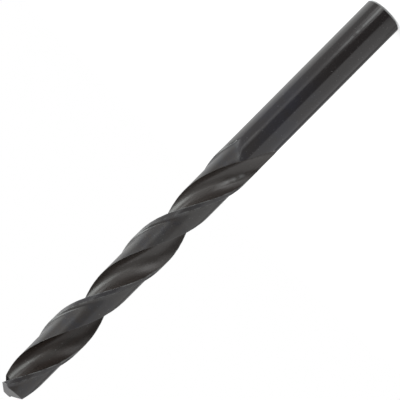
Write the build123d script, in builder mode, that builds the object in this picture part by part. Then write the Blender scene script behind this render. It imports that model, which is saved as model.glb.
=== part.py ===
from build123d import *
import os
from math import atan2, ceil, cos, degrees, pi, radians, sin, sqrt, tan

# A jobber twist drill: a turned blank with two helical flutes, two relieved lands with a
# raised margin along each leading edge, a conically ground point and a plain round shank.
# It stands on the end of its shank, point up, with the origin at the centre of that end.
# Seen from above the point it cuts turning anticlockwise, so each land leads at its
# anticlockwise side, where its margin is, and ends at its heel.

# Blank
overall_length = 133.0
body_diameter = 10.5
shank_diameter = 10.3
shank_chamfer = 0.5

# Flutes
flute_length = 90.0
helix_lead = 58.5
web_at_point = 1.7
web_growth = 0.018  # of web thickness for each millimetre back from the point
land_width = 8.4  # round the body, from the leading edge to the heel
flute_wheel_radius = 27.0

# Lands
margin_width = 1.35  # round the body
margin_slope = 0.25  # width of the slope behind the margin
land_relief = 0.78
relief_setback = 5.0  # of the relief's end, short of the end of the flutes
relief_ramp_angle = 14.0
heel_overrun = 8.0  # degrees by which the relief runs out past the heel

# Point
point_angle = 118.0
grinding_cone_angle = 90.0
apex_setback = 11.4  # of the grinding cone's apex, behind the drill's axis
cone_axis_lead = 4.1  # of the grinding cone's axis, ahead of the drill's

# Cutters
cutter_margin = 0.6  # by which a cutter reaches past the surface that it cuts
section_twist = 15.0  # degrees of helix from one section of a cutter to the next
relief_end_steps = 4
relief_reach = 1.3  # length of the relief cutter's sides, for each length that cuts

body_radius = body_diameter / 2
shank_radius = shank_diameter / 2
relief_radius = body_radius - land_relief
heel_curve_radius = body_radius - land_relief / 2
cutter_radius = body_radius + cutter_margin
blank_top = overall_length + cutter_margin
flute_end = overall_length - flute_length
relief_end = flute_end + relief_setback

margin_angle = degrees(margin_width / body_radius)
land_angle = degrees(land_width / body_radius)
flute_angle = 180 - land_angle
relief_span = land_angle - margin_angle + heel_overrun
lip_drop = 1 / tan(radians(point_angle / 2))
lip_twist = 2 * pi * lip_drop / helix_lead

# The relief ends in a shoulder square to the helix, so it climbs as it goes round to the heel.
rise_per_degree = body_radius * radians(1) * 2 * pi * body_radius / helix_lead
relief_turn = relief_end + relief_span * rise_per_degree


def polar(radius, angle):
    return (radius * cos(radians(angle)), radius * sin(radians(angle)))


def section_plane(height, angle):
    """A level plane whose x axis is turned by the angle from the leading edge's direction there."""
    turn = angle + 360 * (height - overall_length) / helix_lead
    return Plane(origin=(0, 0, height), x_dir=polar(1, turn), z_dir=(0, 0, 1))


def section_heights(top, bottom):
    """Heights from top to bottom, evenly spaced and no further apart than section_twist."""
    steps = ceil((top - bottom) / helix_lead * 360 / section_twist)
    return [top + (bottom - top) * step / steps for step in range(steps + 1)]


# Web and flute floor. The wheel that grinds the flutes lifts out along its own radius.


def web_radius(height):
    return (web_at_point + web_growth * (overall_length - height)) / 2


def wheel_run(lift):
    return sqrt(lift * (2 * flute_wheel_radius - lift))


runout_depth = body_radius - web_radius(flute_end)
runout_start = flute_end + wheel_run(runout_depth)
cutter_bottom = runout_start - wheel_run(runout_depth + cutter_margin / 2)


def floor_radius(height):
    drop = max(runout_start - height, 0)
    return web_radius(height) + flute_wheel_radius - sqrt(flute_wheel_radius**2 - drop**2)


def rake_point(floor, reach):
    """A point of the rake face, which meets the ground point in a straight lip."""
    turn = degrees(lip_twist * reach)
    along, ahead = polar(reach, turn), polar(floor, turn + 90)
    return Vector(along[0] + ahead[0], along[1] + ahead[1])


def rake_direction(floor, reach):
    """The rake face's direction at that point, as its travel for each millimetre of reach."""
    turn = degrees(lip_twist * reach)
    along, ahead = polar(1 - lip_twist * floor, turn), polar(lip_twist * reach, turn + 90)
    return Vector(along[0] + ahead[0], along[1] + ahead[1])


def lead_angle(floor):
    """The angle from the lip's direction to the leading edge."""
    reach = sqrt(body_radius**2 - floor**2)
    return degrees(atan2(floor, reach) + lip_twist * reach)


def flute_section(height, side):
    """A flute's cut at one height, drawn with the lip's direction as its x axis.

    The rake face runs in to the floor, and an arc runs out from there to the heel. As the
    wheel lifts, the cut narrows towards the heel, which stays on its helix.
    """
    floor = floor_radius(height)
    depth_left = (cutter_radius - floor) / (cutter_radius - web_radius(height))
    heel_swing = lead_angle(web_radius(height)) + flute_angle - 90
    heel_angle = 90 + heel_swing * sqrt(depth_left)
    heel_radius = cutter_radius - (cutter_radius - heel_curve_radius) * depth_left
    rim_reach = sqrt(cutter_radius**2 - floor**2)
    rim, root = rake_point(floor, rim_reach), rake_point(floor, 0)
    rim_handle = rim - rake_direction(floor, rim_reach) * rim_reach / 3
    root_handle = root + rake_direction(floor, 0) * rim_reach / 3
    with BuildSketch(section_plane(height, side + flute_angle - heel_angle)) as section:
        with BuildLine():
            rake = Bezier(rim, rim_handle, root_handle, root)
            heel = TangentArc(rake @ 1, polar(heel_radius, heel_angle), tangent=(-1, 0))
            wall = Line(heel @ 1, polar(cutter_radius, heel_angle))
            rim_middle = (heel_angle + degrees(atan2(rim.Y, rim.X))) / 2
            ThreePointArc(wall @ 1, polar(cutter_radius, rim_middle), rake @ 0)
        make_face()
    return section.sketch


def relief_section(height, side, span):
    """The wedge that lowers a land, from the slope behind its margin to a ramp at the far side.

    Both sides of the wedge run past the body's surface and past the relieved one.
    """
    slope_angle = degrees(margin_slope / relief_radius)
    start, end = -margin_angle - slope_angle, -margin_angle - slope_angle - span
    edge, foot = Vector(*polar(body_radius, -margin_angle)), Vector(*polar(relief_radius, start))
    crest, toe = Vector(*polar(body_radius, end - relief_ramp_angle)), Vector(*polar(relief_radius, end))
    with BuildSketch(section_plane(height, side)) as section:
        with BuildLine():
            slope = Line(foot + (edge - foot) * relief_reach, edge + (foot - edge) * relief_reach)
            ramp = Line(crest + (toe - crest) * relief_reach, toe + (crest - toe) * relief_reach)
            inner, outer = (slope @ 1).length, (slope @ 0).length
            middle = (start + end) / 2
            ThreePointArc(slope @ 1, polar(inner, middle), ramp @ 0)
            ThreePointArc(ramp @ 1, polar(outer, middle), slope @ 0)
        make_face()
    return section.sketch


def flank_plane(side):
    """The grinding cone's apex and axis, with the drill's chisel edge on the cone's surface."""
    half_angle = radians(grinding_cone_angle / 2)
    tilt = radians(point_angle / 2) - half_angle
    across = apex_setback**2 + cone_axis_lead**2
    square = cos(tilt) ** 2 - cos(half_angle) ** 2
    linear = apex_setback * sin(tilt) * cos(tilt)
    constant = (apex_setback * sin(tilt)) ** 2 - cos(half_angle) ** 2 * across
    rise = (sqrt(linear**2 - square * constant) - linear) / square
    lip = section_plane(overall_length, side - lead_angle(web_radius(overall_length)))
    apex = lip.from_local_coords((-apex_setback, cone_axis_lead, rise))
    up = lip.from_local_coords((-sin(tilt), 0, cos(tilt))) - lip.origin
    return Plane(origin=apex, x_dir=lip.y_dir, z_dir=up)


with BuildPart() as relief_cutter:
    for side in (0, 180):
        heights = section_heights(blank_top + 2 * cutter_margin, relief_turn)
        sections = [relief_section(height, side, relief_span) for height in heights]
        for step in range(1, relief_end_steps):
            span = relief_span * (1 - step / relief_end_steps)
            sections.append(relief_section(relief_end + span * rise_per_degree, side, span))
        loft(sections)
    Cylinder(
        relief_radius,
        2 * overall_length,
        align=(Align.CENTER, Align.CENTER, Align.MIN),
        mode=Mode.SUBTRACT,
    )

with BuildPart() as twist_drill:
    with BuildSketch(Plane.XZ):
        with BuildLine():
            Polyline(
                (0, 0),
                (shank_radius - shank_chamfer, 0),
                (shank_radius, shank_chamfer),
                (shank_radius, flute_end),
                (body_radius, blank_top),
                (0, blank_top),
                close=True,
            )
        make_face()
    revolve(axis=Axis.Z)

    heights = section_heights(blank_top + cutter_margin, cutter_bottom)
    for side in (0, 180):
        loft([flute_section(height, side) for height in heights], mode=Mode.SUBTRACT)
    add(relief_cutter.part, mode=Mode.SUBTRACT)

    cone_height = 2 * overall_length
    cone_radius = cone_height * tan(radians(grinding_cone_angle / 2))
    for side in (0, 180):
        with Locations(flank_plane(side)):
            Cone(
                cone_radius,
                0,
                cone_height,
                align=(Align.CENTER, Align.CENTER, Align.MAX),
                mode=Mode.INTERSECT,
            )

twist_drill.part.label = "twist_drill"
os.makedirs("parts", exist_ok=True)
export_step(twist_drill.part, "parts/twist_drill.step")
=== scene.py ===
import math

import bpy
import numpy as np
from bpy.props import FloatProperty, FloatVectorProperty, PointerProperty
from bpy.types import Operator, Panel, PropertyGroup
from mathutils import Matrix, Vector


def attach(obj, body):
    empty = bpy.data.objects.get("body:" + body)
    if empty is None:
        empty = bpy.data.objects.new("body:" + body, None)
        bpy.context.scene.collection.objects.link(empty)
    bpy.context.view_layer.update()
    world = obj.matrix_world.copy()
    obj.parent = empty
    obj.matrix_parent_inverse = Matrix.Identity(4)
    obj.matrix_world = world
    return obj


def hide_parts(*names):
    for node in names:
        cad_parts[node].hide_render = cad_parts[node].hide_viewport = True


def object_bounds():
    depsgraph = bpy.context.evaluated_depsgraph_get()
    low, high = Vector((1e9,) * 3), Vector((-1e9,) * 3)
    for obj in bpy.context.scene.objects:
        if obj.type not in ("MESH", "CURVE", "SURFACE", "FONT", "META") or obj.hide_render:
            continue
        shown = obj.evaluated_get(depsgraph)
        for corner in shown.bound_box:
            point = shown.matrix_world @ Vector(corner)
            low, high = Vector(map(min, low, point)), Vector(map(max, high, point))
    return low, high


bl_info = {
    "name": "Twist drill bit",
    "version": (1, 0, 0),
    "blender": (4, 5, 0),
    "location": "3D View > Sidebar > Drill",
    "description": "Makes a black oxide twist drill bit and the studio that it is seen in",
    "category": "Object",
}

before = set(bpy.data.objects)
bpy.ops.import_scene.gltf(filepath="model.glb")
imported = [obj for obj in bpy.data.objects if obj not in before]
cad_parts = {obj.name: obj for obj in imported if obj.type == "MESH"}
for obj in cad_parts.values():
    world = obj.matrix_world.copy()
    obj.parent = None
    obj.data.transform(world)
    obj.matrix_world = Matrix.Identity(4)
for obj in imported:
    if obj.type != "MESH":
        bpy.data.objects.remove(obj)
cad_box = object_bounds()

MM = 0.001


def length(name, default, description):
    """A size in metres, whose default is given in millimetres."""
    return FloatProperty(
        name=name, description=description, default=default * MM, min=0.0, unit="LENGTH",
        precision=5,
    )


def angle(name, default, description):
    """An angle in radians, whose default is given in degrees."""
    return FloatProperty(
        name=name, description=description, default=math.radians(default), subtype="ANGLE",
    )


def colour(name, default, description):
    return FloatVectorProperty(
        name=name, description=description, default=default, min=0.0, max=1.0, size=3,
        subtype="COLOR",
    )


class DrillSizes(PropertyGroup):
    overall_length: length("Overall length", 133.0, "From the end of the shank to the chisel edge")
    body_diameter: length("Body diameter", 10.5, "Across the margins at the point")
    shank_diameter: length("Shank diameter", 10.3, "Across the plain shank")
    shank_chamfer: length("Shank chamfer", 0.5, "Chamfer round the end of the shank")
    flute_length: length("Flute length", 90.0, "From the point to the end of the run-out")
    helix_lead: length("Helix lead", 58.5, "Travel along the drill in one turn of a flute")
    web_thickness: length("Web thickness", 1.7, "Thickness of the core at the point")
    web_growth: FloatProperty(
        name="Web growth",
        description="Growth of the web's thickness for each length back from the point",
        default=0.018,
    )
    land_width: length("Land width", 8.4, "Round the body, from the leading edge to the heel")
    wheel_radius: length("Wheel radius", 27.0, "Radius in which the flutes run out")
    margin_width: length("Margin width", 1.35, "Width of the raised strip along a leading edge")
    margin_slope: length("Margin slope", 0.25, "Width of the slope behind the margin")
    land_relief: length("Land relief", 0.78, "Depth of the land behind its margin")
    relief_setback: length("Relief setback", 5.0, "From the end of the flutes to the relief's")
    point_angle: angle("Point angle", 118.0, "Between the two lips")
    cone_angle: angle("Grinding cone angle", 90.0, "Of the cone on which a flank is ground")
    apex_setback: length("Apex setback", 11.4, "From the drill's axis back to the cone's apex")
    cone_axis_lead: length("Cone axis lead", 4.1, "From the drill's axis ahead to the cone's")
    edge_radius: length("Edge radius", 0.05, "Rounding of the leading edges")
    heel_edge_radius: length("Heel edge radius", 0.08, "Rounding of the heels")


class DrillFinish(PropertyGroup):
    oxide: colour("Oxide", (0.0125, 0.0098, 0.0098), "Colour of the black oxide skin")
    oxide_blue: colour(
        "Oxide, blue patches", (0.0112, 0.0106, 0.0160), "Colour where the skin is thicker")
    land_oxide: colour(
        "Oxide on the lands", (0.0150, 0.0112, 0.0098), "Colour of the skin on the lands")
    land_stain: colour(
        "Stains on the lands", (0.0110, 0.0104, 0.0142), "Colour of the bluish stains")
    rubbed_oxide: colour(
        "Rubbed oxide", (0.027, 0.0245, 0.0232), "Colour where the lands are rubbed pale")
    faded_brown: colour(
        "Faded brown", (0.028, 0.0225, 0.0200), "Colour of the flutes towards the shank")
    flute_brown: colour(
        "Brown bands", (0.021, 0.0150, 0.0125), "Colour of the brown bands in the flutes")
    flute_oxide: colour(
        "Oxide in the flutes", (0.0180, 0.0140, 0.0120), "Colour of the skin in the flutes")
    # Also the colour of the painted highlights on the margins' crests, by the run-out and along the
    # shank.
    bare_steel_and_highlight: colour(
        "Worn edges", (0.20, 0.205, 0.205), "Colour where the skin has worn thin")
    # The line along the shank is partly rubbed skin and partly a painted highlight.
    rub_and_highlight_azimuth: angle(
        "Rubbed line", -31.3, "Direction from +X of the line rubbed along the shank")
    roughness: FloatProperty(
        name="Roughness", description="Roughness of the ground surfaces", subtype="FACTOR",
        default=0.15, min=0.0, max=1.0,
    )


class StageSettings(PropertyGroup):
    camera_azimuth: angle("Camera azimuth", -49.6, "Direction of the camera from +X")
    camera_roll: angle("Camera roll", 45.18, "Turn of the drill's axis in the picture")
    camera_distance: length("Camera distance", 248.2, "From the lens to the drill's axis")
    camera_lens: FloatProperty(
        name="Lens", description="Focal length on a sensor 36 mm wide",
        subtype="DISTANCE_CAMERA", default=90.0,
    )
    aim_height: length("Aim height", 64.91, "Height at which the camera looks")
    aim_offset: length("Aim offset", 0.03, "Distance by which the camera looks past the axis")
    lamp_colour: colour("Lamp colour", (0.955, 1.0, 0.975), "Colour of all the lamps")


# Shape of the drill, in millimetres and degrees


def polar(radius, angles):
    """Points at a radius and angles, as complex numbers."""
    return radius * np.exp(1j * np.radians(angles))


def soft_step(x, top, foot):
    """A ramp from 0 at x = 0 to 1 at x = 1, rounded by the lengths top and foot."""

    def bend(value, rounding):
        return 0.5 * (value + np.sqrt(value * value + rounding * rounding))

    return np.clip(bend(x, top) - bend(x - 1.0, foot), 0.0, 1.0)


def near(distance, width):
    """1 where the distance is 0, which falls away over the width."""
    return np.exp(-((distance / width) ** 2))


def spread(points, count, skip_start=0.0, skip_end=0.0):
    """A curve's points, spaced evenly along it, with a length left out at either end."""
    run = np.concatenate([[0.0], np.cumsum(np.abs(np.diff(points)))])
    most = run[-1] / 3
    stops = np.linspace(min(skip_start, most), run[-1] - min(skip_end, most), count)
    return np.interp(stops, run, points.real) + 1j * np.interp(stops, run, points.imag)


class DrillForm:
    """The drill's outline at any height, worked out from its sizes.

    An outline is a loop of complex numbers in two like halves. Each half runs from a leading
    edge in along the rake face, out to the heel, and round the next land up to that land's own
    leading edge. Each column of points follows the helix.
    """

    # Columns of half an outline. The corners are those at the leading edge and at the heel.
    corner_columns = 3
    rake_columns = 30
    heel_columns = 33
    land_columns = 40
    slope_columns = 11
    margin_columns = 7
    flute_columns = 2 * corner_columns + rake_columns + heel_columns
    half_columns = flute_columns + land_columns + slope_columns + margin_columns
    lead_column = 1
    heel_column = flute_columns - 2
    crest_column = half_columns - margin_columns - 2
    curve_points = 160  # of a cut's own curves, before its columns are spread along them
    wall_points = 24

    # Reach of a cut past the surface, and past the blank at the end of the run-out
    spare = 0.6
    runout_spare = 1.1 * spare
    hair = 1e-6  # by which a trimmed cut always ends inside its own reach

    # The relief ends in a ramp, which starts this far past its far side and is this wide.
    ramp_reach = 14.0
    ramp_width = 24.0

    # How softly the margin's slope and the ramp bend at the top and the foot, in their widths
    slope_bends = (0.6, 1.3)
    ramp_bends = (0.3, 0.8)

    # Nicks in the leading edges and in the heels, placed by chance
    nick_seed = 7
    lead_nick_count, heel_nick_count = 20, 14
    nick_ends = (19.0, 7.0)  # nearest places to the end of the flutes and to the point
    nick_widths = (0.25, 0.6)  # along the edge
    nick_columns = 2.2  # across it
    nick_depths = (0.03, 0.1)

    # Streaks follow the lifting wheel's path: the ridge that it left, and a painted highlight. They
    # start at a column this far above the flutes' end and move over by so many columns a
    # millimetre, within limits.
    streak_start = 17.0
    streak_slope = 1.6
    streak_limits = (0.5, 14.5)

    # The ridge and a painted highlight beside it are two such streaks: their column, their width in
    # columns, the heights above the flutes' end at which they fade in and out, and the ridge's
    # height.
    ridge = (24.5, 3.0, (9.6, 10.4, 14.0, 19.0))
    highlight_streak = (26.5, 2.8, (9.4, 10.4, 14.0, 17.0))
    ridge_height = 0.16

    # Depths below the full radius at which the finish of a flute and of the body is complete
    flute_depth = 0.12
    body_depth = 0.25

    # The shank's finish changes to the body's from this height above the flutes' end.
    body_start = 9.0
    body_blend = 3.0
    margin_share = 0.45  # of the body's finish on a margin, which is smoother

    # Wear of the edges, and painted highlights: how much, how wide, and over what height they fade
    # in above the run-out
    lead_wear, heel_wear = 0.7, 0.15
    wear_width = 0.16
    wear_blend = 3.0
    # Painted highlight: a pale line along the crest of each margin's slope
    crest_highlight = 0.4
    crest_shift, crest_width = -1.5, 2.5  # in columns
    # Painted highlight: a pale streak beside the run-out's ridge
    highlight_streak_level = 0.48

    def __init__(self, sizes):
        self.length = sizes.overall_length / MM
        self.radius = sizes.body_diameter / MM / 2
        self.shank_radius = sizes.shank_diameter / MM / 2
        self.chamfer = sizes.shank_chamfer / MM
        self.flute_end = self.length - sizes.flute_length / MM
        self.lead = sizes.helix_lead / MM
        self.web = sizes.web_thickness / MM
        self.web_growth = sizes.web_growth
        self.wheel = sizes.wheel_radius / MM
        self.margin = math.degrees(sizes.margin_width / MM / self.radius)
        self.slope = sizes.margin_slope / MM
        self.edge_radius = sizes.edge_radius / MM
        self.heel_edge_radius = sizes.heel_edge_radius / MM
        self.relief_end = self.flute_end + sizes.relief_setback / MM
        self.relief_radius = self.radius - sizes.land_relief / MM
        self.heel_curve_radius = (self.radius + self.relief_radius) / 2
        self.cutter_radius = self.radius + self.spare
        self.flute_angle = 180 - math.degrees(sizes.land_width / MM / self.radius)
        self.lip_half_angle = sizes.point_angle / 2
        self.cone_half_angle = sizes.cone_angle / 2
        self.apex_setback = sizes.apex_setback / MM
        self.cone_axis_lead = sizes.cone_axis_lead / MM
        self.lip_twist = 2 * math.pi / math.tan(self.lip_half_angle) / self.lead
        # The relief's end climbs by this for each degree round to the heel.
        self.rise = self.radius * math.radians(1) * 2 * math.pi * self.radius / self.lead
        depth = self.radius - self.web_radius(self.flute_end)
        self.runout_start = self.flute_end + self.wheel_run(depth)
        self.runout_end = self.runout_start - self.wheel_run(depth + self.spare / 2)
        chance = np.random.default_rng(self.nick_seed)
        low, high = self.flute_end + self.nick_ends[0], self.length - self.nick_ends[1]
        nicks = [
            (chance.uniform(low, high), chance.uniform(*self.nick_widths),
             chance.uniform(*self.nick_depths))
            for _ in range(self.lead_nick_count + self.heel_nick_count)
        ]
        self.nicks = (
            (self.lead_column, nicks[: self.lead_nick_count]),
            (self.heel_column, nicks[self.lead_nick_count :]),
        )

    def web_radius(self, height):
        return (self.web + self.web_growth * (self.length - height)) / 2

    def wheel_run(self, lift):
        return math.sqrt(lift * (2 * self.wheel - lift))

    def floor_radius(self, height):
        drop = max(self.runout_start - height, 0.0)
        return self.web_radius(height) + self.wheel - math.sqrt(self.wheel**2 - drop**2)

    def full_radius(self, height):
        """The radius across the margins."""
        share = np.clip((height - self.flute_end) / (self.length - self.flute_end), 0.0, 1.0)
        return self.shank_radius + (self.radius - self.shank_radius) * share

    def lead_angle(self, floor):
        """The angle from the lip's direction to the leading edge."""
        reach = math.sqrt(self.radius**2 - floor**2)
        return math.degrees(math.atan2(floor, reach) + self.lip_twist * reach)

    def turn(self, height):
        """The direction of the first leading edge."""
        return 360 * (height - self.length) / self.lead

    def angles(self, points, height):
        """The angles of points at a height from the leading edge's direction there."""
        return np.degrees(np.angle(points * polar(1.0, -self.turn(height))))

    def blank(self, angles, height):
        """The body's radius before fluting, at angles from a leading edge."""
        full = self.full_radius(height)
        # The lands are alike, so all angles are taken to one land, from -120 to 60 degrees.
        angles = 60 - (60 - angles) % 180
        behind = (-self.margin - angles) * math.radians(self.radius) / self.slope
        span = (height - self.relief_end) / self.rise
        far = -self.margin - math.degrees(self.slope / self.relief_radius) - span
        ramp = (angles - (far - self.ramp_reach)) / self.ramp_width
        cut = soft_step(behind, *self.slope_bends) * soft_step(ramp, *self.ramp_bends)
        return full - (full - self.relief_radius) * cut

    def cut(self, height):
        """A flute's cut at a height: its rake face and its heel side, both out from the floor."""
        floor = self.floor_radius(height)
        web = self.web_radius(height)
        left = (self.cutter_radius - floor) / (self.cutter_radius - web)
        swing = self.lead_angle(web) + self.flute_angle - 90
        heel_angle = 90 + swing * math.sqrt(left)
        heel_radius = self.cutter_radius - (self.cutter_radius - self.heel_curve_radius) * left
        reach = math.sqrt(self.cutter_radius**2 - floor**2)

        def rake_at(distance):
            return (distance + 1j * floor) * np.exp(1j * self.lip_twist * distance)

        def rake_slope(distance):
            turned = np.exp(1j * self.lip_twist * distance)
            return (1 + 1j * self.lip_twist * (distance + 1j * floor)) * turned

        rim, root = rake_at(reach), rake_at(0.0)
        rim_handle = rim - rake_slope(reach) * reach / 3
        root_handle = root + rake_slope(0.0) * reach / 3
        # A cubic from the floor to the rim, with the true rake face's directions at its ends
        t = np.linspace(0.0, 1.0, self.curve_points)
        rake = (
            (1 - t) ** 3 * root + 3 * t * (1 - t) ** 2 * root_handle
            + 3 * t**2 * (1 - t) * rim_handle + t**3 * rim
        )
        # An arc that leaves the floor level and ends at the heel, and a straight wall from there
        end = complex(polar(heel_radius, heel_angle)) - 1j * floor
        bow = abs(end) ** 2 / (2 * end.imag)
        sweep = np.linspace(0.0, math.atan2(-end.real, bow - end.imag), self.curve_points)
        arc = -bow * np.sin(sweep) + 1j * (floor + bow * (1 - np.cos(sweep)))
        wall_radii = np.linspace(heel_radius, self.cutter_radius, self.wall_points)[1:]
        heel = np.concatenate([arc, polar(wall_radii, heel_angle)])
        to_world = polar(1.0, self.turn(height) + self.flute_angle - heel_angle)
        return rake * to_world, heel * to_world

    def trimmed(self, curve, height, spare):
        """The part of a cut that lies inside the blank, or that far past it."""
        limit = self.blank(self.angles(curve, height), height) + spare
        over = np.abs(curve) - np.minimum(limit, self.cutter_radius - self.hair)
        outside = np.nonzero(over > 0)[0]
        if not len(outside):
            return curve
        k = outside[0]
        share = -over[k - 1] / (over[k] - over[k - 1])
        return np.append(curve[:k], curve[k - 1] + share * (curve[k] - curve[k - 1]))

    def corner(self, before, point, after):
        """Points that round the corner between two curves."""
        t = np.linspace(0.0, 1.0, self.corner_columns + 2)[1:-1]
        return (1 - t) ** 2 * before + 2 * t * (1 - t) * point + t**2 * after

    def half(self, height):
        """Half of the outline, in the order of its columns."""
        # As the flutes run out, the cuts reach further past the blank and the edges get sharper.
        runout = self.runout_start - self.runout_end
        share = np.clip((self.runout_start - height) / runout, 0.0, 1.0)
        spare = self.runout_spare * share**2
        edge, heel_edge = self.edge_radius * (1 - share), self.heel_edge_radius * (1 - share)
        rake, heel = (self.trimmed(curve, height, spare) for curve in self.cut(height))
        rake_side = spread(rake[::-1], self.rake_columns, skip_start=edge)
        heel_side = spread(heel, self.heel_columns + 1, skip_end=heel_edge)[1:]

        # The land runs from the heel, over the foot and the top of the slope, to the next edge.
        lead = self.angles(rake[-1], height)
        back = self.angles(-heel[-1], height)
        slope = math.degrees(self.slope / self.radius)
        foot, top = -self.margin - 2 * slope, -self.margin + slope / 2
        start = back + math.degrees(heel_edge / self.radius)
        end = lead - math.degrees(edge / self.radius)
        angles = np.concatenate([
            np.linspace(start, foot, self.land_columns),
            np.linspace(foot, top, self.slope_columns + 1)[1:],
            np.linspace(top, end, self.margin_columns + 1)[1:],
        ])
        turn = self.turn(height)
        land = polar(self.blank(angles, height), angles + turn + 180)
        lead_rim = polar(self.blank(lead, height), lead + turn)
        loop = self.worn(np.concatenate([
            self.corner(-land[-1], lead_rim, rake_side[0]), rake_side, heel_side,
            self.corner(heel_side[-1], heel[-1], land[0]), land,
        ]), height)
        if share > 0:
            blank = self.blank(self.angles(loop, height), height)
            loop = loop * np.minimum(1.0, blank / np.abs(loop))
        return loop

    def streak(self, columns, height, column, width, heights):
        """How strong a streak along the lifting wheel's path is at some columns, from 0 to 1."""
        level = height - self.flute_end
        moved = np.clip((self.streak_start - level) * self.streak_slope, *self.streak_limits)
        return near(columns - column + moved, width) * np.interp(level, heights, (0, 1, 1, 0))

    def worn(self, loop, height):
        """The half outline with small nicks in its edges and the ridge that the wheel left."""
        columns, count = np.arange(len(loop)), len(loop)
        dent = np.zeros(count)
        for column, nicks in self.nicks:
            away = (columns - column + count / 2) % count - count / 2
            for place, width, depth in nicks:
                if abs(height - place) < 2 * width:
                    dent += depth * near(away, self.nick_columns) * near(height - place, width)
        ridge = self.ridge_height * self.streak(columns, height, *self.ridge)
        return loop * (1 + (ridge - dent) / np.abs(loop))

    def outline(self, height):
        """The whole outline at a height, anticlockwise, as complex numbers."""
        half = self.half(max(height, self.runout_end))
        loop = np.concatenate([half, -half])
        if height < self.flute_end:
            loop = loop / np.abs(loop) * self.shank_radius
        return loop

    def zones(self, height, loop):
        """The shares of a flute's finish, the body's finish, and of worn edges and painted
        highlights at a row's points.
        """
        level = height - self.flute_end
        columns = np.arange(len(loop)) % self.half_columns
        depth = self.blank(self.angles(loop, height), height) - np.abs(loop)
        fluted = (level > 0) & (columns < self.flute_columns)
        flute = np.where(fluted, np.clip(depth / self.flute_depth, 0.0, 1.0), 0.0)

        sunk = (self.full_radius(height) - np.abs(loop)) / self.body_depth
        body = np.maximum((level - self.body_start) / self.body_blend, np.where(level > 0, sunk, 0))
        body = np.clip(body, 0.0, 1.0)
        body = np.where(columns > self.crest_column, self.margin_share * body, body)

        corners = np.array([self.lead_column, self.heel_column])
        apart = np.abs(loop[:, None] - loop[np.append(corners, corners + self.half_columns)])
        wear_and_highlight = np.where(np.argmin(apart, axis=1) % 2, self.heel_wear, self.lead_wear)
        wear_and_highlight = wear_and_highlight * near(np.min(apart, axis=1), self.wear_width)
        # Painted highlight: a pale line along the crest of each margin's slope.
        crest = columns - self.crest_column - self.crest_shift
        wear_and_highlight = np.maximum(wear_and_highlight, self.crest_highlight * near(crest, self.crest_width))
        wear_and_highlight = wear_and_highlight * np.clip((height - self.runout_start) / self.wear_blend, 0.0, 1.0)
        # Painted highlight: a pale streak beside the run-out's ridge.
        highlight_streak = self.highlight_streak_level * self.streak(columns, height, *self.highlight_streak)
        return flute, body, np.maximum(wear_and_highlight, highlight_streak)

    def values(self, walls, flanks):
        """What the material reads at each point: shares of its finishes and places on the helix.

        The last two points are the middle of the shank's end and the tip.
        """
        middle = self.outline((self.runout_start + self.length) / 2)
        across = np.concatenate([[0.0], np.cumsum(np.abs(np.diff(middle)))])
        none = np.zeros(len(across))
        table = []
        for height, loop in walls:
            rim = np.where((height > 0) & (height < self.chamfer), 1.0, 0.0)
            table.append([*self.zones(height, loop), rim, height, across])
        for height, _ in flanks:
            table.append([none, none + 1.0, none, none, height, across])
        ends = [[0, 0], [0, 1], [0, 0], [0, 0], [0, self.length], [0, 0]]
        # The edge values hold worn edges and painted highlights.
        names = ("flute", "body", "edge", "rim", "along", "across")
        joined = np.array(table).transpose(1, 0, 2).reshape(len(names), -1)
        return dict(zip(names, np.hstack([joined, ends])))

    def flank_height(self, points):
        """Height of the ground point above each place of the section.

        A flank is part of a cone that is tilted towards its lip. Its apex stands so far up that
        the drill's own tip lies on it.
        """
        tilt = self.lip_half_angle - self.cone_half_angle
        sine, cosine = math.sin(tilt), math.cos(tilt)
        flare = math.cos(self.cone_half_angle) ** 2
        square = cosine**2 - flare

        def apex_rise(back, aside):
            """How far the apex is above the cone's surface, that far back and aside of it."""
            linear = back * sine * cosine
            constant = (back * sine) ** 2 - flare * (back**2 + aside**2)
            return (np.sqrt(linear**2 - square * constant) - linear) / square

        apex = self.length + apex_rise(self.apex_setback, self.cone_axis_lead)
        heights = []
        for side in (0.0, 180.0):
            lip = side - self.lead_angle(self.web_radius(self.length))
            local = points * polar(1.0, -lip)
            back, aside = self.apex_setback + local.real, self.cone_axis_lead - local.imag
            heights.append(apex - apex_rise(back, aside))
        return np.minimum(*heights)

    def shank_end(self):
        """Heights and radii of the shank's end, whose chamfer has slightly rounded corners."""
        foot, top = self.shank_radius - self.chamfer, self.shank_radius
        return (
            (0.0, foot - 0.03), (0.03, foot + 0.01),
            (self.chamfer - 0.03, top - 0.05), (self.chamfer + 0.03, top - 0.004),
            (self.chamfer + 0.1, top), (self.chamfer + 0.2, top),
        )


# The drill's mesh: rows of points up its walls, then rows in over the point's flanks. A row is an
# array of heights and a loop.

SHANK_START = 1.5
SHANK_ROWS = 30
ZONE_GAP = 0.2  # between the last row of one zone and the first of the next
RUNOUT_MARGIN = 1.0  # by which the run-out's fine rows go on past it
RUNOUT_STEP = 0.25
BODY_STEP = 0.5
POINT_LENGTH = 7.0  # of the part whose columns run up to the flanks
POINT_SPARE = 0.4
POINT_STEP = 0.1
POINT_ROWS = 16
RIM_ROUNDING = 0.04
FLANK_ROWS = 21
FLANK_CROWDING = 1.4  # of the rows towards the tip


def wall_rows(form):
    """The rows of the shank and the body, up to where the point begins."""
    rows = []
    ring = form.outline(form.runout_end)
    for height, radius in form.shank_end():
        rows.append((np.full(len(ring), height), ring / np.abs(ring) * radius))
    low, high = form.runout_end, form.runout_start + RUNOUT_MARGIN
    heights = np.concatenate([
        np.linspace(SHANK_START, low, SHANK_ROWS),
        np.arange(low + ZONE_GAP, high, RUNOUT_STEP),
        np.arange(high + ZONE_GAP, form.length - POINT_LENGTH, BODY_STEP),
    ])
    for height in heights:
        rows.append((np.full(len(ring), height), form.outline(height)))
    return rows


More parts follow.
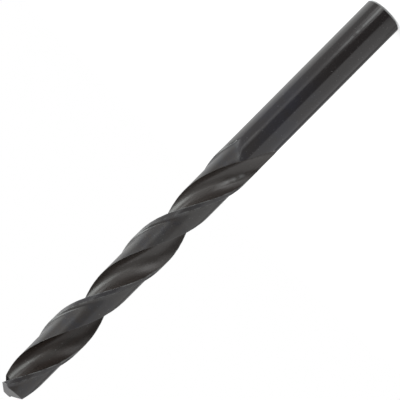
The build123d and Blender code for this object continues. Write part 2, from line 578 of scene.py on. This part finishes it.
def point_rows(form):
    """The rows up to where each column meets the ground flanks, and those of the flanks."""
    start = form.length - POINT_LENGTH
    fine = np.arange(start, form.length + POINT_SPARE, POINT_STEP)
    stack = np.array([form.outline(height) for height in fine])
    column = np.arange(stack.shape[1])

    def columns_at(heights):
        place = (heights - start) / POINT_STEP
        index = np.minimum(place.astype(int), len(fine) - 2)
        share = place - index
        return stack[index, column] * (1 - share) + stack[index + 1, column] * share

    gap = form.flank_height(stack) - fine[:, None]
    last = np.argmax(gap < 0, axis=0)
    above, below = gap[last, column], gap[last - 1, column]
    top = fine[last - 1] + POINT_STEP * below / (below - above)
    walls = []
    for share in np.linspace(0.0, 1.0, POINT_ROWS):
        height = start + (top - RIM_ROUNDING - start) * share
        walls.append((height, columns_at(height)))
    rim = columns_at(top)
    rim = rim * (1 - RIM_ROUNDING / np.abs(rim))
    flanks = []
    for share in np.linspace(1.0, 0.0, FLANK_ROWS + 1)[:-1] ** FLANK_CROWDING:
        flanks.append((form.flank_height(rim * share), rim * share))
    return walls, flanks


def drill_mesh(form):
    """Vertices in metres, faces, and the values that the material reads at each vertex."""
    point_walls, flanks = point_rows(form)
    walls = wall_rows(form) + point_walls
    rows = walls + flanks
    points = [np.column_stack([loop.real, loop.imag, height]) for height, loop in rows]
    points.append([[0.0, 0.0, 0.0], [0.0, 0.0, form.flank_height(np.array([0j]))[0]]])
    # The box of the frame's facets lies a micrometre inside the true curves.
    vertices = np.clip(np.concatenate(points) * MM, *np.array(cad_box))

    count = len(rows[0][1])
    ring = [(i, (i + 1) % count) for i in range(count)]
    starts = [row * count for row in range(len(rows) + 1)]
    faces = [
        (low + i, low + j, high + j, high + i)
        for low, high in zip(starts[:-2], starts[1:-1]) for i, j in ring
    ]
    last, bottom = starts[-2:]
    for i, j in ring:
        faces += [(bottom, j, i), (last + i, last + j, bottom + 1)]
    return vertices, faces, form.values(walls, flanks)


# Shaders


class Field:
    """A socket, whose value varies over a surface. Each operator adds its own Math node."""

    def __init__(self, shader, socket):
        self.shader, self.socket = shader, socket

    def math(self, operation, *values):
        return self.shader.add("ShaderNodeMath", {"operation": operation}, dict(enumerate(values)))

    def __add__(self, other):
        return self.math("ADD", self, other)

    __radd__ = __add__

    def __sub__(self, other):
        return self.math("SUBTRACT", self, other)

    def __rsub__(self, other):
        return self.math("SUBTRACT", other, self)

    def __mul__(self, other):
        return self.math("MULTIPLY", self, other)

    __rmul__ = __mul__

    def __truediv__(self, other):
        return self.math("DIVIDE", self, other)

    def absolute(self):
        return self.math("ABSOLUTE", self)

    def largest(self, other):
        return self.math("MAXIMUM", self, other)

    def smooth(self, low, high):
        """0 below low and 1 above high, or the other way round where low is the higher one."""
        settings = {"interpolation_type": "SMOOTHSTEP"}
        return self.shader.add("ShaderNodeMapRange", settings, {0: self, 1: low, 2: high})


class Shader:
    """The nodes of a material or a world, added through one method."""

    def __init__(self, owner):
        owner.use_nodes = True
        self.tree = owner.node_tree
        self.tree.nodes.clear()

    def node(self, kind, settings=None, inputs=None):
        node = self.tree.nodes.new(kind)
        for name, value in (settings or {}).items():
            setattr(node, name, value)
        for name, value in (inputs or {}).items():
            if isinstance(value, Field):
                self.tree.links.new(value.socket, node.inputs[name])
            else:
                node.inputs[name].default_value = value
        return node

    def add(self, kind, settings=None, inputs=None, output=0):
        return Field(self, self.node(kind, settings, inputs).outputs[output])

    def place(self):
        """The place on the object, in metres."""
        return self.add("ShaderNodeTexCoord", output="Object")

    def axes(self, place):
        """The three coordinates of a place."""
        outputs = self.node("ShaderNodeSeparateXYZ", None, {0: place}).outputs
        return [Field(self, output) for output in outputs]

    def vector(self, x, y, z=0.0):
        return self.add("ShaderNodeCombineXYZ", None, {0: x, 1: y, 2: z})

    def scaled(self, vector, scales):
        return self.add("ShaderNodeVectorMath", {"operation": "MULTIPLY"}, {0: vector, 1: scales})

    def attribute(self, name):
        """A value kept on the mesh's points."""
        return self.add("ShaderNodeAttribute", {"attribute_name": name}, output="Fac")

    def noise(self, place, scale=1.0, detail=3.0, roughness=0.5):
        inputs = {"Vector": place, "Scale": scale, "Detail": detail, "Roughness": roughness}
        return self.add("ShaderNodeTexNoise", None, inputs)

    def bump(self, relief, strength, distance):
        inputs = {"Strength": strength, "Distance": distance, "Height": relief}
        return self.add("ShaderNodeBump", None, inputs)

    def mix(self, share, low, high):
        """Two colours, mixed. A Mix node's colour sockets are inputs 6 and 7 and output 2."""
        settings = {"data_type": "RGBA"}
        return self.add("ShaderNodeMix", settings, {0: share, 6: low, 7: high}, output=2)

    def seen_rays(self):
        """1 for what the camera sees, straight or in a reflection, and 0 for scattered light."""
        rays = self.node("ShaderNodeLightPath").outputs
        names = ("Is Camera Ray", "Is Glossy Ray", "Is Transmission Ray")
        return sum(Field(self, rays[name]) for name in names)

    def surface(self, kind, inputs, world=False):
        """The shader that the owner shows."""
        output = "ShaderNodeOutputWorld" if world else "ShaderNodeOutputMaterial"
        self.node(output, None, {0: self.add(kind, None, inputs)})


def rgba(tint):
    return (*tint, 1.0)


def grey(level):
    return (level, level, level, 1.0)


DENSE_IOR = 1.58  # of the oxide on the shank, the body and the faded parts of the flutes
POROUS_IOR = 1.42  # of the oxide in the rest of the flutes


def oxide_material(finish):
    """Black oxide over ground steel: turned rings on the shank, grinding lines in the flutes."""
    material = bpy.data.materials.new("black_oxide_steel")
    shader = Shader(material)
    place = shader.place()
    x, y, z = shader.axes(place)
    # The edge share holds worn edges and painted highlights.
    flute, body, edge, rim = (shader.attribute(name) for name in ("flute", "body", "edge", "rim"))
    # These three are in millimetres.
    across, along, height = shader.attribute("across"), shader.attribute("along"), z / MM

    clouds = shader.noise(place, scale=90.0, detail=4.0, roughness=0.6)
    mottle = shader.noise(place, scale=600.0, roughness=0.6)
    stains = shader.noise(place, scale=260.0, detail=4.0, roughness=0.65)
    specks = shader.noise(place, scale=2600.0, detail=1.0).smooth(0.70, 0.78)

    # Grinding lines and bands run along the flutes, and short ridges lie across them in patches.
    lines = shader.noise(shader.vector(across * 2.6, along * 0.07), roughness=0.6)
    bands = shader.noise(shader.vector(across * 0.7, along * 0.035), detail=2.0)
    ridges = shader.noise(shader.vector(across * 0.25, along * 1.9), detail=2.0)
    patches = shader.noise(shader.vector(across * 0.2, along * 0.09, 7.0)).smooth(0.5, 0.62)
    rings = shader.noise(shader.scaled(place, (40.0, 40.0, 5200.0)), detail=2.0, roughness=0.6)

    # The shank is stained blue above its end.
    blue = clouds.smooth(0.38, 0.6) * height.smooth(20.0, 34.0)
    shank = shader.mix(blue, rgba(finish.oxide), rgba(finish.oxide_blue))

    # The lands are stained, and rubbed pale about the middle of the body.
    pale = (1 - (height - 80.0).absolute() / 26.0).smooth(0.0, 0.5) * clouds.smooth(0.3, 0.55)
    land = shader.mix(stains.smooth(0.4, 0.6), rgba(finish.land_oxide), rgba(finish.land_stain))
    land = shader.mix(pale, land, rgba(finish.rubbed_oxide))

    # The flutes are banded with brown, which is faded towards the shank.
    faded = (height + 16.0 * (clouds - 0.5)).smooth(108.0, 90.0)
    banded = bands.smooth(0.35, 0.65)
    brown = shader.mix(banded, rgba(finish.flute_oxide), rgba(finish.flute_brown))
    brown = shader.mix(faded, brown, rgba(finish.faded_brown))
    skin = shader.mix(flute, shader.mix(body, shank, land), brown)

    # A line along the shank is lightened towards its end: partly rubbed thin, partly a painted
    # highlight.
    sine, cosine = math.sin(finish.rub_and_highlight_azimuth), math.cos(finish.rub_and_highlight_azimuth)
    aside = (y * cosine - x * sine) / MM + 0.3 * (clouds - 0.5)
    facing = ((x * cosine + y * sine) / MM).smooth(0.0, 1.0)
    rubbed = aside.absolute().smooth(0.42, 0.08) * facing * height.smooth(21.0, 8.0)
    rubbed = rubbed * mottle.smooth(0.3, 0.55) * 0.42

    # The skin is worn through on the edges and the chamfer too, and in small specks; the edge share
    # and the shank's line also carry painted highlights.
    worn_edge_and_highlight, worn_rim = edge * mottle.smooth(0.35, 0.6), rim * mottle.smooth(0.1, 0.45)
    worn = worn_edge_and_highlight.largest(worn_rim).largest(rubbed)
    skin = shader.mix(worn, skin, rgba(finish.bare_steel_and_highlight))
    skin = shader.mix(specks * 0.3, skin, rgba(finish.bare_steel_and_highlight))

    # The shank is glossier than the body, and the flutes are uneven along their grain.
    roughness = finish.roughness + 0.15 * body + 0.14 * (clouds - 0.5) + 0.08 * (mottle - 0.5)
    roughness = roughness + flute * (0.22 * (bands - 0.5) + 0.2 * (lines - 0.5) + 0.02)
    relief = flute * (0.35 * lines + patches * ridges) + body * 0.2 * mottle + 0.05 * rings
    normal = shader.bump(relief, strength=0.25, distance=0.06 * MM)

    inputs = {"Base Color": skin, "Roughness": roughness, "Normal": normal}
    # Worn skin, the painted highlights and the chamfer are partly metallic.
    bare_and_highlight = worn * 0.4 + rim * 0.6
    principled = "ShaderNodeBsdfPrincipled"
    dense = shader.add(principled, None, {**inputs, "Metallic": bare_and_highlight, "IOR": DENSE_IOR})
    porous = shader.add(principled, None, {**inputs, "IOR": POROUS_IOR})
    shader.surface("ShaderNodeMixShader", {0: flute * (1 - faded), 1: dense, 2: porous})
    return material


# Operators


class DRILL_OT_body(Operator):
    """Make the drill, with its flutes, margins, run-out and ground point"""

    bl_idname = "drill.body"
    bl_label = "Drill"

    def execute(self, context):
        vertices, faces, values = drill_mesh(DrillForm(context.scene.drill_sizes))
        mesh = bpy.data.meshes.new("drill_skin")
        mesh.from_pydata(vertices.tolist(), [], faces)
        if mesh.validate():
            raise RuntimeError("The drill's mesh has faces that can't be used")
        mesh.polygons.foreach_set("use_smooth", [True] * len(mesh.polygons))
        for name, numbers in values.items():
            mesh.attributes.new(name, "FLOAT", "POINT").data.foreach_set("value", numbers)
        mesh.materials.append(oxide_material(context.scene.drill_finish))
        drill = bpy.data.objects.new("drill_skin", mesh)
        context.scene.collection.objects.link(drill)
        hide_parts("twist_drill")
        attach(drill, "root")
        return {"FINISHED"}


class DRILL_OT_stage(Operator):
    """Set up the floor, the world, the lamps and the camera"""

    bl_idname = "drill.stage"
    bl_label = "Studio"

    floor_reach = 3.0
    floor_level = 0.8
    floor_glow = 0.46  # which makes the lit floor white where it is seen
    world_level = 0.7  # for scattered light

    def execute(self, context):
        stage = context.scene.drill_stage
        azimuth = stage.camera_azimuth
        self.back = Vector((math.cos(azimuth), math.sin(azimuth), 0.0))
        self.side = Vector((-math.sin(azimuth), math.cos(azimuth), 0.0))
        self.aim = Vector((0.0, 0.0, stage.aim_height)) - self.side * stage.aim_offset
        self.camera(context.scene, stage)
        self.floor()
        self.world(context.scene)

        # A card or a lamp first has the two angles round the drill between which it stands, in
        # degrees clockwise from the camera, as seen from above. Then come a card's lower and
        # upper end in metres and the two levels between which it fades, or the two angles above
        # the horizon between which a lamp stands and its level.
        self.card("camera_card", (-28, 27), (-0.55, 1.6), (0.14, 0.53), fade=(-0.22, 0.08))
        self.card("left_card", (-90, -50), (-1.4, 0.0), (0.72, 0.72))
        self.card("right_card", (22, 112), (-1.4, -0.31), (0.2, 0.2))
        self.card("far_card", (117, 150), (-1.4, 1.6), (0.35, 0.35))
        self.card("low_card", (-45, -33), (-0.30, -0.222), (2.6, 2.6), distance=0.94)
        self.card("end_card", (-70, -14), (-0.8, -0.238), (2.4, 2.4), distance=0.97)
        self.lamp("strip_lamp", (-42, -38), (-10, 40), 1.3, stage.lamp_colour)
        self.lamp("window_lamp", (-138, -93), (-40, 8), 0.45, stage.lamp_colour)
        self.lamp("upper_window_lamp", (-138, -93), (8, 50), 0.8, stage.lamp_colour)
        self.lamp("high_lamp", (-76, -34), (28, 62), 5.0, stage.lamp_colour)
        return {"FINISHED"}

    @staticmethod
    def link(name, data):
        """A new object of some data, in the scene."""
        made = bpy.data.objects.new(name, data)
        bpy.context.scene.collection.objects.link(made)
        return made

    def camera(self, scene, stage):
        camera = bpy.data.cameras.new("camera")
        camera.lens = stage.camera_lens
        camera.sensor_width = 36.0
        camera.clip_start = 0.01
        roll, down = stage.camera_roll, Vector((0.0, 0.0, -1.0))
        right = math.cos(roll) * down - math.sin(roll) * self.side
        up = math.sin(roll) * down + math.cos(roll) * self.side
        turn = Matrix((right, up, self.back)).transposed().to_4x4()
        place = Matrix.Translation(self.aim + self.back * stage.camera_distance)
        scene.camera = self.link("camera", camera)
        scene.camera.matrix_world = place @ turn

    def floor(self):
        low, high = -self.floor_reach, self.floor_reach
        mesh = bpy.data.meshes.new("floor")
        corners = [(low, low, 0.0), (high, low, 0.0), (high, high, 0.0), (low, high, 0.0)]
        mesh.from_pydata(corners, [], [(0, 1, 2, 3)])
        floor = self.link("floor", mesh)
        floor.visible_glossy = False
        material = bpy.data.materials.new("white_floor")
        shader = Shader(material)
        glow = shader.mix(shader.seen_rays(), grey(0.0), grey(self.floor_glow))
        shader.surface("ShaderNodeBsdfPrincipled", {
            "Base Color": grey(self.floor_level),
            "Roughness": 0.9,
            "Emission Color": glow,
            "Emission Strength": 1.0,
        })
        mesh.materials.append(material)

    def world(self, scene):
        world = bpy.data.worlds.new("studio")
        scene.world = world
        shader = Shader(world)
        level = shader.mix(shader.seen_rays(), grey(self.world_level), grey(1.0))
        shader.surface("ShaderNodeBackground", {"Color": level, "Strength": 1.0}, world=True)

    def direction(self, azimuth, rise):
        """From the drill to a place round it, at an angle from the camera and a rise."""
        azimuth, rise = math.radians(azimuth), math.radians(rise)
        level = self.back * math.cos(azimuth) - self.side * math.sin(azimuth)
        return level * math.cos(rise) + Vector((0.0, 0.0, math.sin(rise)))

    def card(self, name, angles, heights, levels, fade=(-1.0, 1.0), distance=1.0):
        """An upright panel that only reflections see, a distance away from the drill's axis.

        It fades from one level to the other between the two heights of fade.
        """
        out = self.direction(sum(angles) / 2, 0.0)
        across = out.cross(Vector((0, 0, 1))) * math.tan(math.radians(angles[1] - angles[0]) / 2)
        left, right = (out - across) * distance, (out + across) * distance
        foot, head = (Vector((0, 0, height)) for height in heights)
        corners = (left + foot, right + foot, right + head, left + head)
        mesh = bpy.data.meshes.new(name)
        mesh.from_pydata([tuple(corner) for corner in corners], [], [(0, 1, 2, 3)])
        panel = self.link(name, mesh)
        material = bpy.data.materials.new(name)
        material.cycles.emission_sampling = "NONE"
        shader = Shader(material)
        _, _, height = shader.axes(shader.place())
        level = shader.mix(height.smooth(*fade), *(grey(level) for level in levels))
        shader.surface("ShaderNodeEmission", {"Color": level, "Strength": 1.0})
        mesh.materials.append(material)
        panel.visible_camera = panel.visible_shadow = panel.visible_diffuse = False

    def lamp(self, name, angles, rises, level, tint):
        """A soft lamp that adds its level to what stands behind it."""
        out = self.direction(sum(angles) / 2, sum(rises) / 2)
        across = Vector((0, 0, 1)).cross(out).normalized()
        light = bpy.data.lights.new(name, "AREA")
        light.shape = "RECTANGLE"
        light.color = tint
        light.size = 2 * math.tan(math.radians(angles[1] - angles[0]) / 2) * out.to_2d().length
        light.size_y = 2 * math.tan(math.radians(rises[1] - rises[0]) / 2)
        light.energy = level * math.pi * light.size * light.size_y
        lamp = self.link(name, light)
        turn = Matrix((across, out.cross(across), out)).transposed().to_4x4()
        lamp.matrix_world = Matrix.Translation(out + Vector((0.0, 0.0, self.aim.z))) @ turn
        lamp.visible_camera = False


class DRILL_PT_panel(Panel):
    bl_label = "Twist drill"
    bl_idname = "DRILL_PT_panel"
    bl_space_type = "VIEW_3D"
    bl_region_type = "UI"
    bl_category = "Drill"

    def draw(self, context):
        scene, column = context.scene, self.layout.column()
        for group in (scene.drill_sizes, scene.drill_finish, scene.drill_stage):
            for name in group.__annotations__:
                column.prop(group, name)
        for operator in (DRILL_OT_body, DRILL_OT_stage):
            column.operator(operator.bl_idname)


CLASSES = (DrillSizes, DrillFinish, StageSettings, DRILL_OT_body, DRILL_OT_stage, DRILL_PT_panel)


def register():
    for cls in CLASSES:
        bpy.utils.register_class(cls)
    bpy.types.Scene.drill_sizes = PointerProperty(type=DrillSizes)
    bpy.types.Scene.drill_finish = PointerProperty(type=DrillFinish)
    bpy.types.Scene.drill_stage = PointerProperty(type=StageSettings)


def unregister():
    del bpy.types.Scene.drill_stage
    del bpy.types.Scene.drill_finish
    del bpy.types.Scene.drill_sizes
    for cls in reversed(CLASSES):
        bpy.utils.unregister_class(cls)


def main():
    register()
    bpy.ops.drill.body()
    bpy.ops.drill.stage()
    bpy.context.scene.view_settings.view_transform = "Standard"


if __name__ == "__main__":
    main()
